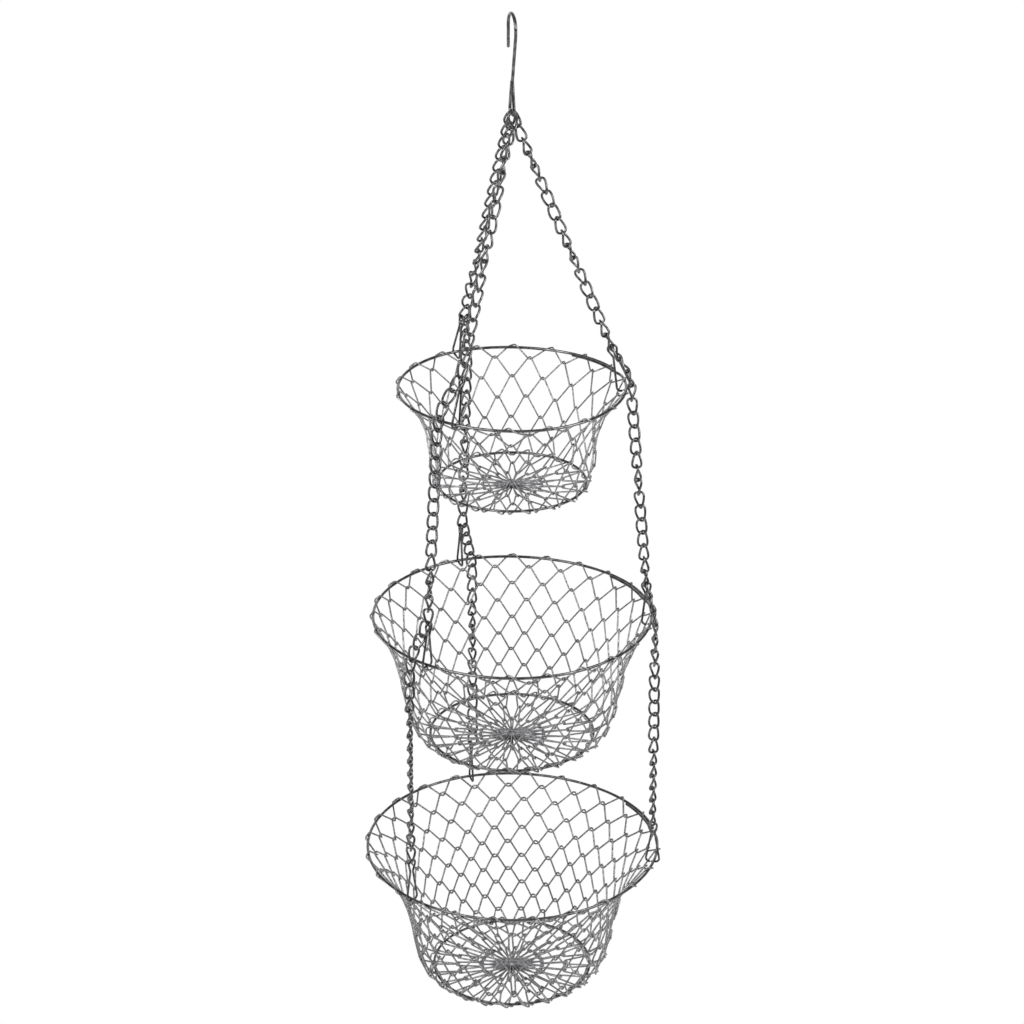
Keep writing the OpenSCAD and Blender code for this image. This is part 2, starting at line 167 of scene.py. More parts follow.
# %% [markdown]
# ## A tree that strings links on points
#
# A curb link is a closed oval that has been twisted, so that each link lies nearly flat on the
# last one. Its line is a circle of one unit whose points are moved: with t as the angle, x is
# half the length times cos t, y is half the width times sin t, and z is the twist times sin 2t.
# A little fullness swells the oval between its ends and its sides. The steps of that sum stand in
# a table, and each row becomes one maths node.

# %% The line of one link
LINK_TREE, given, result = new_tree(
    "links_on_points",
    {
        "Half length": "Float",
        "Half width": "Float",
        "Twist": "Float",
        "Fullness": "Float",
        "Wire radius": "Float",
        "Steps": "Int",
        "Sides": "Int",
        "Finish": "Material",
    },
)
LINK_SUMS = (
    ("angle", "MULTIPLY", "share", 2 * math.pi),
    ("cosine", "COSINE", "angle"),
    ("sine", "SINE", "angle"),
    ("sine squared", "MULTIPLY", "sine", "sine"),
    ("cosine squared", "MULTIPLY", "cosine", "cosine"),
    ("end swell", "MULTIPLY", "Fullness", "sine squared"),
    ("side swell", "MULTIPLY", "Fullness", "cosine squared"),
    ("end fullness", "ADD", 1.0, "end swell"),
    ("side fullness", "ADD", 1.0, "side swell"),
    ("end way", "MULTIPLY", "cosine", "end fullness"),
    ("side way", "MULTIPLY", "sine", "side fullness"),
    ("double angle", "MULTIPLY", "angle", 2.0),
    ("wave", "SINE", "double angle"),
    ("x", "MULTIPLY", "Half length", "end way"),
    ("y", "MULTIPLY", "Half width", "side way"),
    ("z", "MULTIPLY", "Twist", "wave"),
)
along = put(LINK_TREE, "GeometryNodeSplineParameter")
terms = {"share": along.outputs["Factor"]}
for title in ("Half length", "Half width", "Twist", "Fullness"):
    terms[title] = given.outputs[title]
for made, operation, *parts in LINK_SUMS:
    feeds = {k: terms.get(part, part) for k, part in enumerate(parts)}
    terms[made] = put(LINK_TREE, "ShaderNodeMath", {"operation": operation}, feeds).outputs[0]
circle = put(
    LINK_TREE,
    "GeometryNodeCurvePrimitiveCircle",
    feeds={"Resolution": given.outputs["Steps"], "Radius": 1.0},
)
spot = put(
    LINK_TREE, "ShaderNodeCombineXYZ", feeds={0: terms["x"], 1: terms["y"], 2: terms["z"]}
)
oval = put(
    LINK_TREE,
    "GeometryNodeSetPosition",
    feeds={"Geometry": circle.outputs["Curve"], "Position": spot.outputs["Vector"]},
)
print("one link's line takes", len(LINK_SUMS), "sums")

# %% [markdown]
# The line gets its wire, and one link goes on each point of the input. Each point carries the way
# its link runs and the way its face looks. The link's length is turned to the first, and then it
# is rolled about its length until its face looks the second way.

# %% Links on points
section = put(
    LINK_TREE,
    "GeometryNodeCurvePrimitiveCircle",
    feeds={"Resolution": given.outputs["Sides"], "Radius": given.outputs["Wire radius"]},
)
one_link = put(
    LINK_TREE,
    "GeometryNodeCurveToMesh",
    feeds={"Curve": oval.outputs["Geometry"], "Profile Curve": section.outputs["Curve"]},
)
rounded = put(
    LINK_TREE, "GeometryNodeSetShadeSmooth", feeds={"Geometry": one_link.outputs["Mesh"]}
)
runs, looks = (
    put(LINK_TREE, "GeometryNodeInputNamedAttribute", {"data_type": "FLOAT_VECTOR"}, {"Name": name})
    for name in ("runs", "looks")
)
pointed = put(
    LINK_TREE,
    "FunctionNodeAlignRotationToVector",
    {"axis": "X"},
    {"Vector": runs.outputs["Attribute"]},
)
rolled = put(
    LINK_TREE,
    "FunctionNodeAlignRotationToVector",
    {"axis": "Z", "pivot_axis": "X"},
    {"Rotation": pointed.outputs["Rotation"], "Vector": looks.outputs["Attribute"]},
)
strung = put(
    LINK_TREE,
    "GeometryNodeInstanceOnPoints",
    feeds={
        "Points": given.outputs["Geometry"],
        "Instance": rounded.outputs["Geometry"],
        "Rotation": rolled.outputs["Rotation"],
    },
)
close_tree(LINK_TREE, strung.outputs["Instances"], given, result)

# %% [markdown]
# ## Running a tree and keeping its mesh
#
# A modifier's input is set by its socket's identifier. The evaluated result is copied to a plain
# mesh, and the modifier's object is thrown away, so that what rides on the frame is simple.


# %% Run a tree
def grow(name, tree, values, points, edges=(), attributes=None):
    """Runs a tree on a mesh of points and edges, in millimetres, and returns a plain object."""
    seed = bpy.data.meshes.new(name + "_path")
    seed.from_pydata([tuple(c * MM for c in p) for p in points], [tuple(e) for e in edges], [])
    for title, rows in (attributes or {}).items():
        rows = np.asarray(rows, dtype=np.float32)
        kind, field = ("FLOAT_VECTOR", "vector") if rows.ndim == 2 else ("FLOAT", "value")
        seed.attributes.new(title, kind, "POINT").data.foreach_set(field, rows.ravel())
    source = in_scene(name + "_source", seed)
    modifier = source.modifiers.new("grow", "NODES")
    modifier.node_group = tree
    sockets = {
        item.name: item.identifier
        for item in tree.interface.items_tree
        if item.in_out == "INPUT"
    }
    for title, value in values.items():
        modifier[sockets[title]] = value
    bpy.context.view_layer.update()
    graph = bpy.context.evaluated_depsgraph_get()
    mesh = bpy.data.meshes.new_from_object(source.evaluated_get(graph))
    bpy.data.objects.remove(source)
    print(name, "has", len(mesh.polygons), "faces")
    return in_scene(name, mesh)


def hand_over(piece, node, body, slot):
    """Puts a piece in the place of a frame node, on its body; slot is not used."""
    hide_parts(node)
    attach(piece, body)


# %% [markdown]
# ## Finishes
#
# All of it is bright steel wire, drawn through a die and then plated with nickel and chromium.
# Plating is a smooth mirror, so what the eye reads as its colour is mostly the room: white paper
# far behind, a grey room around. Drawing leaves fine lines, the bath leaves slight clouds, and
# handling dulls a chain more than a rim. Each finish is the same few nodes with its own tone:
# clouds in the colour and the roughness, and a fine uneven bump. How the tones differ is painted
# light and shade: the clips, the hook and the chain get darker tones for the dark reflections
# that they show, and the net a lighter one that keeps it silver grey in the grey room. Drawing
# lines are a few hundredths of a millimetre apart, far too fine for a picture of the whole basket,
# so the grain is drawn about ten times as coarse, at which it still breaks a highlight in a near
# view.

# %% Plated wire
CLOUD_STEP = (0.38, 0.62)  # noise at which a dull place turns bright
DULLING_STEP = (0.3, 0.7)  # noise over which the roughness falls
DULLER, SHINIER = 1.3, 0.8  # shares of the finish's roughness
GRAIN_STRENGTH = 0.3


def plated_wire(name, tone, deep_tone, roughness, cloud_mm, grain_mm, grain_height_mm):
    """A plated wire: tone and deep_tone are its light and its dull places."""
    material = bpy.data.materials.new(name)
    tree = empty_nodes(material)
    place = put(tree, "ShaderNodeTexCoord").outputs["Object"]
    clouds = put(
        tree,
        "ShaderNodeTexNoise",
        feeds={"Vector": place, "Scale": 1 / (cloud_mm * MM), "Detail": 3.0, "Roughness": 0.6},
    )
    grain = put(
        tree,
        "ShaderNodeTexNoise",
        feeds={"Vector": place, "Scale": 1 / (grain_mm * MM), "Detail": 2.0},
    )
    patches = put(
        tree,
        "ShaderNodeMapRange",
        {"interpolation_type": "SMOOTHSTEP"},
        {
            "Value": clouds.outputs["Fac"],
            "From Min": CLOUD_STEP[0],
            "From Max": CLOUD_STEP[1],
        },
    )
    colour = put(
        tree,
        "ShaderNodeMix",
        {"data_type": "RGBA"},
        {"Factor": patches.outputs["Result"], 6: linear(deep_tone), 7: linear(tone)},
    )
    dullness = put(
        tree,
        "ShaderNodeMapRange",
        feeds={
            "Value": clouds.outputs["Fac"],
            "From Min": DULLING_STEP[0],
            "From Max": DULLING_STEP[1],
            "To Min": roughness * DULLER,
            "To Max": roughness * SHINIER,
        },
    )
    bump = put(
        tree,
        "ShaderNodeBump",
        feeds={
            "Strength": GRAIN_STRENGTH,
            "Distance": grain_height_mm * MM,
            "Height": grain.outputs["Fac"],
        },
    )
    surface = put(
        tree,
        "ShaderNodeBsdfPrincipled",
        feeds={
            "Base Color": colour.outputs[2],
            "Metallic": 1.0,
            "Roughness": dullness.outputs["Result"],
            "Normal": bump.outputs["Normal"],
        },
    )
    put(tree, "ShaderNodeOutputMaterial", feeds={"Surface": surface.outputs["BSDF"]})
    print(name, "is", tone, "with", deep_tone, "at roughness", roughness)
    return material


# %% The five finishes
# Thick polished wire under chrome: the sharpest mirror here, with long clean streaks of light.
# Its tone, darker than the net's, is painted shade for the hook's dark reflections
HOOK_STEEL = plated_wire("chrome_plated_hook_wire_painted_shade", "#7C7C80", "#4E4E52", 0.14, 5, 0.5, 0.02)
# Hard spring wire under chrome. Its tone is painted shade, the darkest here, for the dark
# reflections of the clips: they are the darkest lines of the basket
CLIP_STEEL = plated_wire("chrome_plated_spring_wire_painted_shade", "#6C6C6E", "#424244", 0.16, 4, 0.4, 0.02)
# Links are barrel plated, where they rub on each other: a softer shine with more clouds.
# Its tone, darker than the net's, is painted shade for the dark look of the chain
CHAIN_STEEL = plated_wire("nickel_chain_wire_painted_shade", "#838385", "#555557", 0.22, 3, 0.4, 0.03)
# Rims and rings are rolled smooth and chromed: dark in front, light where they run to the back
RIM_STEEL = plated_wire("chrome_plated_rim_wire", "#7E7E80", "#545456", 0.18, 6, 0.5, 0.02)
# Soft net wire is nickel plated before it is bent, and bending dulls it: an even silver grey.
# Its tone, lighter than the other wires', is painted light that keeps the net silver grey in the
# grey room
NET_STEEL = plated_wire("nickel_net_wire_painted_light", "#ACACAE", "#88888A", 0.4, 3, 0.4, 0.02)

# %% [markdown]
# ## Wires bent in a plane
#
# The hook and the clips are made on a wire-forming machine: straights joined by round bends. The
# same corner points and bend radii as on the real piece give the line, and each bend becomes an
# arc of short steps.

# %% Bent wires
ARC_STEP = 0.7  # length of one step of a bend
STRAIGHT = 1e-4  # turns under this many radians are no bend


def unit(way):
    """A way made one long."""
    return way / np.linalg.norm(way)


def round_path(corners):
    """A line through 2D corners (point, bend radius), with each bend as an arc."""
    spots = [np.array(point, float) for point, radius in corners]
    radii = [radius for point, radius in corners[1:]]
    line = [spots[0]]
    for before, here, after, radius in zip(spots, spots[1:], spots[2:], radii):
        way_in, way_out = unit(here - before), unit(after - here)
        turn = math.acos(np.clip(way_in @ way_out, -1, 1))
        if turn < STRAIGHT:
            line.append(here)
            continue
        cut = radius * math.tan(turn / 2)
        middle = here + unit(way_out - way_in) * math.hypot(cut, radius)
        spoke = here - way_in * cut - middle
        steps = max(3, math.ceil(radius * turn / ARC_STEP))
        for k in range(steps + 1):
            t = turn * k / steps
            line.append(middle + spoke * math.cos(t) + way_in * radius * math.sin(t))
    line.append(spots[-1])
    return np.array(line)


# %% [markdown]
# A cut end is broken over by tumbling, so it is a low dome. A few points near each end carry a
# thickness that falls along a quarter circle.

# %% Wires and their ends
END_STEPS = (0.0, 0.12, 0.35, 0.65, 1.0)  # where the points of a dome stand, as shares
END_HEIGHT = 0.8  # the dome's height as a share of the wire's radius
END_TIP = 0.1  # the least thickness, at the tip


def rounded_ends(line, radius):
    """Adds points near both ends of an open line, and the girth that rounds the cut ends."""
    dome = [math.sqrt(max(END_TIP**2, 1 - (1 - d) ** 2)) for d in END_STEPS]
    head, tail = (
        [end + unit(inner - end) * radius * END_HEIGHT * d for d in END_STEPS]
        for end, inner in ((line[0], line[1]), (line[-1], line[-2]))
    )
    points = head + list(line[1:-1]) + tail[::-1]
    girths = dome + [1.0] * (len(line) - 2) + dome[::-1]
    return np.array(points), girths


def wire_object(name, lines, diameter, finish, sides=12):
    """One object of several wires; lines are (points, girths or None for a closed ring)."""
    points, edges, girths = [], [], []
    for line, ends in lines:
        first, count = len(points), len(line)
        points.extend(line)
        girths.extend(ends if ends is not None else [1.0] * count)
        edges.extend((first + k, first + k + 1) for k in range(count - 1))
        if ends is None:
            edges.append((first + count - 1, first))
    sizes = {"Wire radius": diameter / 2 * MM, "Sides": sides, "Finish": finish}
    return grow(name, WIRE_TREE, sizes, points, edges, {"girth": girths})


# %% [markdown]
# ## The hook
#
# One thick wire: a free tip, a round top that goes over a bar, a leaning shank, and an eye bent
# closed at the foot. The three end links hang on the foot of the eye. It is drawn flat and then
# turned about the vertical, nearly edge on to the viewer.

# %% The hook
HOOK_WIRE, HOOK_BEND, HOOK_TIP, HOOK_DROP = 2.8, 12.0, 20.0, 85.0
HOOK_TURN = 105.0  # degrees from the XZ plane
HOOK_SHORT = 0.3  # how much the top bend is tighter than half the hook's width
SHANK_START = 4.0  # the shank leaves the bend this far below it
EYE_LENGTH, EYE_WIDTH = 29.0, 16.0
EYE_BEND = 0.28 * EYE_WIDTH
EYE_END = 0.4  # where the eye's end stops beside the shank, as a share of the wire's radius


def turned(points, degrees):
    """Points turned about the vertical."""
    c, s = math.cos(math.radians(degrees)), math.sin(math.radians(degrees))
    return np.asarray(points) @ np.array([[c, s, 0], [-s, c, 0], [0, 0, 1]])


half_wire = HOOK_WIRE / 2
neck_z = EYE_LENGTH - HOOK_DROP
hook_line = round_path([
    ((HOOK_BEND, half_wire - HOOK_BEND - HOOK_TIP), 0),
    ((HOOK_BEND, half_wire), HOOK_BEND - HOOK_SHORT),
    ((-HOOK_BEND, half_wire), HOOK_BEND - HOOK_SHORT),
    ((-HOOK_BEND, half_wire - HOOK_BEND - SHANK_START), HOOK_BEND / 2),
    ((-half_wire, neck_z), HOOK_BEND / 2),
    ((-EYE_WIDTH / 2, -HOOK_DROP), EYE_BEND),
    ((EYE_WIDTH / 2, -HOOK_DROP), EYE_BEND),
    ((half_wire * EYE_END, neck_z), 0),
])
upright = np.stack([hook_line[:, 0], np.zeros(len(hook_line)), hook_line[:, 1]], axis=1)
hook_path = rounded_ends(turned(upright, HOOK_TURN), half_wire)
hook = wire_object("hook_wire", [hook_path], HOOK_WIRE, HOOK_STEEL, sides=20)
hand_over(hook, "hook", "hook", "hook")

# %% [markdown]
# ## Where the bowls hang
#
# The frame says where each bowl is: its rim gives the height, and the first joint of the chains
# below a bowl gives the turn of the next one. Only the shape of each wall is stated here, by the
# same four radii that draw it in the solids.

# %% The bowls
JOINTS = {joint["name"]: joint["pos_m"] for joint in frame["joints"]}


def turn_of(joint):
    """The turn of a bowl about the vertical, from the joint that carries its right chain."""
    return math.degrees(math.atan2(JOINTS[joint][1], JOINTS[joint][0]))


# rim, waist, belly and base are the wall's radii from the top down, and depth is its height.
# meshes is the number of diamonds around, rows of net wires down, and first the height of the
# top row against the others. wire is the net wire's diameter, and eye the form of a crossing:
# half the length of a bend, its rounding and its reach past the middle of the crossing.
# lean is how far the clips' tops stand in from the rim.
BOWLS = {
    "top": dict(
        rim=100.0, waist=58.0, belly=82.0, base=66.0, depth=90.0, meshes=18, rows=6,
        first=0.55, wire=1.5, eye=(1.1, 0.9, 0.9), lean=13.0, turn=0.0,
    ),
    "mid": dict(
        rim=126.0, waist=88.0, belly=106.0, base=75.0, depth=120.0, meshes=24, rows=9,
        first=0.6, wire=1.6, eye=(1.2, 0.9, 1.0), lean=5.0, turn=turn_of("mid_sway"),
    ),
    "low": dict(
        rim=135.5, waist=80.0, belly=104.0, base=74.0, depth=130.0, meshes=24, rows=11,
        first=0.85, wire=1.72, eye=(1.6, 1.2, 1.35), lean=2.5, turn=turn_of("low_sway"),
    ),
}
for tier, bowl in BOWLS.items():
    low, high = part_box(tier + "_rim")
    bowl["z"] = (low.z + high.z) / 2 / MM
    print(tier, "rim at", round(bowl["z"], 1), "mm, turned", round(bowl["turn"], 2), "degrees")


def outward(degrees):
    """A flat unit step away from the middle."""
    return np.array([math.cos(math.radians(degrees)), math.sin(math.radians(degrees)), 0.0])


# %% [markdown]
# ## Hand-made wire is never quite true
#
# A bowl like this is hooked together by hand, so its rim dips a little between the clips and the
# net wanders by a millimetre. One smooth field moves every wire of a bowl, so wires that touch
# still touch. The rim is left alone at the three clips. The field is made of sine waves, so it is
# the same on each run: three waves around for the rim, and five, seven and four for the net.

# %% The field
RIM_DIP, RIM_PUSH = 1.2, 0.8
NET_WANDER, NET_LIFT = 0.9, 0.63


def settle(points, bowl):
    """Moves points of a bowl, in millimetres, by the way such a bowl has settled."""
    points = np.array(points, float)
    turn = np.arctan2(points[:, 1], points[:, 0]) - math.radians(bowl["turn"])
    radius = np.maximum(1.0, np.linalg.norm(points[:, :2], axis=1))
    down = (bowl["z"] - points[:, 2]) / bowl["depth"]
    between = (1 - np.cos(3 * turn)) / 2
    near_rim = np.clip(1 - down, 0, 1)
    free = np.clip(4 * down * (1 - down), 0, 1)
    push = RIM_PUSH * np.sin(3 * turn) * near_rim
    push += NET_WANDER * free * np.sin(5 * turn + 4 * down + bowl["rim"])
    shift = NET_WANDER * free * np.sin(7 * turn - 5 * down + bowl["rim"])
    lift = NET_LIFT * free * np.sin(4 * turn + 7 * down)
    ways = points[:, :2] / radius[:, None]
    points[:, :2] += push[:, None] * ways
    points[:, :2] += shift[:, None] * np.stack([-ways[:, 1], ways[:, 0]], axis=1)
    points[:, 2] += lift - RIM_DIP * between * near_rim
    return points


print("rims dip", RIM_DIP, "mm between clips; nets wander", NET_WANDER, "mm")

# %% [markdown]
# ## The net
#
# The wall is woven from closed rings of zigzag wire. Each ring's lower bends are pulled over the
# upper bends of the next ring, which is why a small lens shows at every crossing. At every bend
# the wire passes from the inside of the net to the outside. The rings follow the wall's curve in
# equal steps of its length, but for the first, which is lower because its bends are pulled tight
# over the rim. The bends round a rim or a ring are wide, and those of the net on itself small.

# %% Rows of crossings
RIM_WIRE, BASE_WIRE, CENTRE_WIRE = 2.6, 2.4, 2.0
CENTRE_RADIUS, FLOOR_SAG, FLOOR_ROWS = 6.2, 3.0, 3
WAIST_LEVEL, BELLY_LEVEL = 0.4, 0.97  # depths of the wall's two middle radii, as shares
CURVE_STEPS = 81
RING_CLEARANCE, CROSSING_CLEARANCE = 0.1, 0.03
PAST_RING = 0.9  # how far a bend's wire lies past the ring that it goes round
BENDS = {
    "rim": (2.8, 1.8, RIM_WIRE / 2 + PAST_RING),
    "base": (2.2, 1.6, BASE_WIRE / 2 + PAST_RING),
    "floor edge": (3.6, 3.2, 4.2),
    "centre": (1.1, 0.9, CENTRE_WIRE / 2 + PAST_RING),
}
RING_WIRES = {"rim": RIM_WIRE, "base": BASE_WIRE, "floor edge": BASE_WIRE, "centre": CENTRE_WIRE}


def wall_point(bowl, t):
    """The wall's curve as (radius, height), from the rim at 0 to the base ring at 1."""
    s = 1 - t
    shares = np.array([s**3, 3 * s * s * t, 3 * s * t * t, t**3])
    radius = shares @ [bowl["rim"], bowl["waist"], bowl["belly"], bowl["base"]]
    return np.array([radius, -bowl["depth"] * (shares @ [0.0, WAIST_LEVEL, BELLY_LEVEL, 1.0])])


def crossing_row(bowl, point, way, kind):
    """A row of crossings: its place, its way along the net and the form of its bends."""
    half, bend, lap = BENDS.get(kind, bowl["eye"])
    gap = bowl["wire"] / 2 + CROSSING_CLEARANCE
    if kind in RING_WIRES:
        gap = (RING_WIRES[kind] + bowl["wire"]) / 2 + RING_CLEARANCE
    return dict(p=point, way=unit(way), lap=lap, gap=gap, half=half, bend=bend)


def wall_rows(bowl):
    """Rows of crossings down the wall: the first ring is lower than the others."""
    ts = np.linspace(0, 1, CURVE_STEPS)
    steps = np.diff([wall_point(bowl, t) for t in ts], axis=0)
    lengths = np.concatenate([[0], np.cumsum(np.linalg.norm(steps, axis=1))])
    n, first = bowl["rows"], bowl["first"]
    share = lengths[-1] / (n - 1 + first)
    spots = [
        wall_point(bowl, np.interp(share * max(0, j - 1 + first), lengths, ts))
        for j in range(n + 1)
    ]
    kinds = ["rim"] + ["crossing"] * (n - 1) + ["base"]
    ways = [spots[min(n, j + 1)] - spots[max(0, j - 1)] for j in range(n + 1)]
    return [crossing_row(bowl, *row) for row in zip(spots, ways, kinds)]


def floor_rows(bowl):
    """Rows of crossings from the base ring in to the small ring at the middle."""
    span = CENTRE_RADIUS - bowl["base"]
    rows = []
    for j in range(FLOOR_ROWS + 1):
        t = j / FLOOR_ROWS
        spot = np.array([bowl["base"] + t * span, -bowl["depth"] - FLOOR_SAG * t * (2 - t)])
        way = np.array([span, -2 * FLOOR_SAG * (1 - t)])
        kind = {0: "floor edge", FLOOR_ROWS: "centre"}.get(j, "crossing")
        rows.append(crossing_row(bowl, spot, way, kind))
    return rows


# %% [markdown]
# A zigzag has two corners at each bend: the wire comes up inside the net, crosses the row and goes
# down outside. The corners are then cut to round bends.

# %% One zigzag wire
WIDEST_BEND = 0.22  # half of a bend, at most, as a share of the step around
CORNER_REACH = 0.48  # how much of a straight a corner may take
CORNER_STEPS = (0.0, 0.33, 0.67, 1.0)


def net_point(row, degrees, lap, layer, z):
    """A corner of a net wire; layer 1 is outside the net and -1 inside."""
    face = np.array([-row["way"][1], row["way"][0]])
    spot = row["p"] + lap * row["lap"] * row["way"] + layer * row["gap"] * face
    return spot[0] * outward(degrees) + np.array([0, 0, spot[1] + z])


def zigzag(upper, lower, count, first, z):
    """The line of one closed zigzag wire between two rows."""
    step = 360 / count
    half_up, half_low = (
        min(math.degrees(row["half"] / row["p"][0]), step * WIDEST_BEND) for row in (upper, lower)
    )
    corners = []
    for a in (first + k * step for k in range(count)):
        corners += [
            net_point(upper, a - half_up, -1, -1, z),
            net_point(upper, a + half_up, -1, 1, z),
            net_point(lower, a + step / 2 - half_low, 1, 1, z),
            net_point(lower, a + step / 2 + half_low, 1, -1, z),
        ]
    bends = [upper["bend"]] * 2 + [lower["bend"]] * 2
    return soften(np.array(corners), bends * count)


def soften(spots, bends):
    """A closed line with its corners cut to round bends."""
    line = []
    befores, afters = np.roll(spots, 1, 0), np.roll(spots, -1, 0)
    for before, here, after, radius in zip(befores, spots, afters, bends):
        to_before, to_after = before - here, after - here
        shortest = min(np.linalg.norm(to_before), np.linalg.norm(to_after))
        near = min(radius, CORNER_REACH * shortest)
        a, b = here + unit(to_before) * near, here + unit(to_after) * near
        line += [(1 - t) ** 2 * a + 2 * t * (1 - t) * here + t * t * b for t in CORNER_STEPS]
    return np.array(line)


# %% The nets of the three bowls
NET_SIDES = 6


def net_wires(bowl, rows, start):
    """The closed zigzags between rows, each half a step round from the last."""
    count, half_step = bowl["meshes"], 180 / bowl["meshes"]
    for j, (upper, lower) in enumerate(zip(rows, rows[1:])):
        line = zigzag(upper, lower, count, start + j * half_step, bowl["z"])
        yield settle(line, bowl), None


for tier, bowl in BOWLS.items():
    half_step = 180 / bowl["meshes"]
    for part, rows, offset in (
        ("wall", wall_rows(bowl), half_step),
        ("floor", floor_rows(bowl), (bowl["rows"] + 2) * half_step),
    ):
        wires = list(net_wires(bowl, rows, bowl["turn"] + offset))
        name = f"{tier}_{part}_net"
        net = wire_object(name + "_wires", wires, bowl["wire"], NET_STEEL, NET_SIDES)
        hand_over(net, name, f"{tier}_tier", "net")

# %% [markdown]
# ## Rims and rings
#
# Each ring is one wire rolled round. The base ring and the small ring at the middle of the floor
# are butt welded and ground, so they are drawn closed. The rim's two ends are laid side by side
# for two fingers' width and welded, so the rim is double there.

# %% Rings
RING_STEPS, RIM_STEPS, RING_SIDES = 180, 200, 12
LAP_LENGTH, LAP_EASE = 55.0, 18.0  # the doubled length, and the stretch that leads into it
LAP_GAP = 0.1
LAP_AT = 25.0  # degrees round from the right clip


def ring_line(radius, z):
    """A closed flat ring."""
    turns = (360 * k / RING_STEPS for k in range(RING_STEPS))
    return np.array([radius * outward(a) + [0, 0, z] for a in turns])


def lapped_line(radius, z, wire, start):
    """A ring whose last stretch lies inside its first one."""
    lap, ease = (math.degrees(length / radius) for length in (LAP_LENGTH, LAP_EASE))
    line = []
    for a in np.linspace(0, 360 + lap, RIM_STEPS):
        t = min(1.0, max(0.0, (a - 360 + ease) / ease))
        inside = (wire + LAP_GAP) * t * t * (3 - 2 * t)
        line.append((radius - inside) * outward(start + a) + [0, 0, z])
    return np.array(line)


for tier, bowl in BOWLS.items():
    foot_z = bowl["z"] - bowl["depth"]
    rim = lapped_line(bowl["rim"], bowl["z"], RIM_WIRE, bowl["turn"] + LAP_AT)
    base = ring_line(bowl["base"], foot_z)
    centre = ring_line(CENTRE_RADIUS, foot_z - FLOOR_SAG)
    for part, lines, wire, slot in (
        ("rim", [rounded_ends(settle(rim, bowl), RIM_WIRE / 2)], RIM_WIRE, "rim"),
        ("base_ring", [(settle(base, bowl), None)], BASE_WIRE, "ring"),
        ("centre_ring", [(settle(centre, bowl), None)], CENTRE_WIRE, "ring"),
    ):
        ring = wire_object(f"{tier}_{part}_wire", lines, wire, RIM_STEEL, RING_SIDES)
        hand_over(ring, f"{tier}_{part}", f"{tier}_tier", slot)

# %% [markdown]
# ## Clips
#
# A clip is a figure of eight: a small eye that hangs in a chain link, a neck, and a wide foot that
# the rim rests in. It leans with the chain above it. Its wire is bent like the hook's, from eight
# corners, and its two ends meet under the rim.

# %% The clips
SIDES = {"right": 0.0, "front": -120.0, "back": 120.0}
PLAY = 0.3  # between a wire and the one that it hangs on
CLIP_WIRE, CLIP_HEIGHT, CLIP_EYE, CLIP_FOOT, CLIP_INSET = 2.0, 36.0, 9.6, 14.6, 2.2
LINK_WIRE, LINK_LENGTH, LINK_WIDTH = 2.0, 17.0, 10.6
SHARE_SIDE = (LINK_WIRE + CLIP_WIRE) / 4 + PLAY
NECK_HALF, NECK_BEND = 0.8 * CLIP_WIRE, 2 * CLIP_WIRE
NECK_DROP = 3.0  # from the eye's top to the neck, as a share of the eye's bend
EYE_SPARE, FOOT_SPARE = 0.3, 0.6  # how much wider the corners stand than the bends they make
FOOT_BEND = 0.24 * CLIP_FOOT
END_BEFORE, END_AFTER = 0.7 * CLIP_WIRE, 1.6 * CLIP_WIRE  # where the two ends stop


def clip_frame(bowl, side):
    """A clip's foot on the rim, its way up and across, its way aside and its length."""
    away = outward(SIDES[side] + bowl["turn"])
    foot = bowl["rim"] * away + [0, 0, bowl["z"]]
    carry = (bowl["rim"] - bowl["lean"]) * away + [0, 0, bowl["z"] + CLIP_HEIGHT]
    up = unit(carry - foot)
    across = unit(away - (away @ up) * up)
    return foot, up, across, np.array([away[1], -away[0], 0.0]), np.linalg.norm(carry - foot)


def clip_line(bowl, side):
    """The line of one clip, in the frame's millimetres."""
    foot, up, across, aside, length = clip_frame(bowl, side)
    bend = (LINK_WIDTH - LINK_WIRE) / 2
    slack = bend - (LINK_WIRE + CLIP_WIRE) / 2 - PLAY
    top = length + bend - math.sqrt(slack**2 - SHARE_SIDE**2)
    eye = (CLIP_EYE - CLIP_WIRE) / 2
    neck_top = top - NECK_DROP * eye
    # The straights from the neck just touch the eye's circle, which gives their slope
    reach = math.hypot(NECK_HALF, top - eye - neck_top)
    slope = math.atan2(top - eye - neck_top, -NECK_HALF) - math.asin(eye / reach)
    eye_corner = NECK_HALF + (top - neck_top) / math.tan(slope) + EYE_SPARE
    foot_z = -(RIM_WIRE + CLIP_WIRE) / 2 - PLAY
    half = (CLIP_FOOT - CLIP_WIRE) / 2 + FOOT_SPARE
    flat = round_path([
        ((-END_BEFORE - CLIP_INSET, foot_z), 0),
        ((half - CLIP_INSET, foot_z), FOOT_BEND),
        ((NECK_HALF, neck_top), NECK_BEND),
        ((eye_corner, top), eye),
        ((-eye_corner, top), eye),
        ((-NECK_HALF, neck_top), NECK_BEND),
        ((-half - CLIP_INSET, foot_z), FOOT_BEND),
        ((-END_AFTER - CLIP_INSET, foot_z), 0),
    ])
    return foot - SHARE_SIDE * aside + flat[:, :1] * across + flat[:, 1:] * up


for tier, bowl in BOWLS.items():
    for side in SIDES:
        name = f"{tier}_clip_{side}"
        path = rounded_ends(clip_line(bowl, side), CLIP_WIRE / 2)
        clip = wire_object(name + "_wire", [path], CLIP_WIRE, CLIP_STEEL)
        hand_over(clip, name, f"{tier}_tier", "clip")

# %% [markdown]
# ## Chains
#
# The solids already say where each link is: every link in the frame is a loose oval, so its middle
# and the way it runs are read from its own points. Points of one link are found by walking along
# its edges, and the way it runs is the direction in which its points spread most.


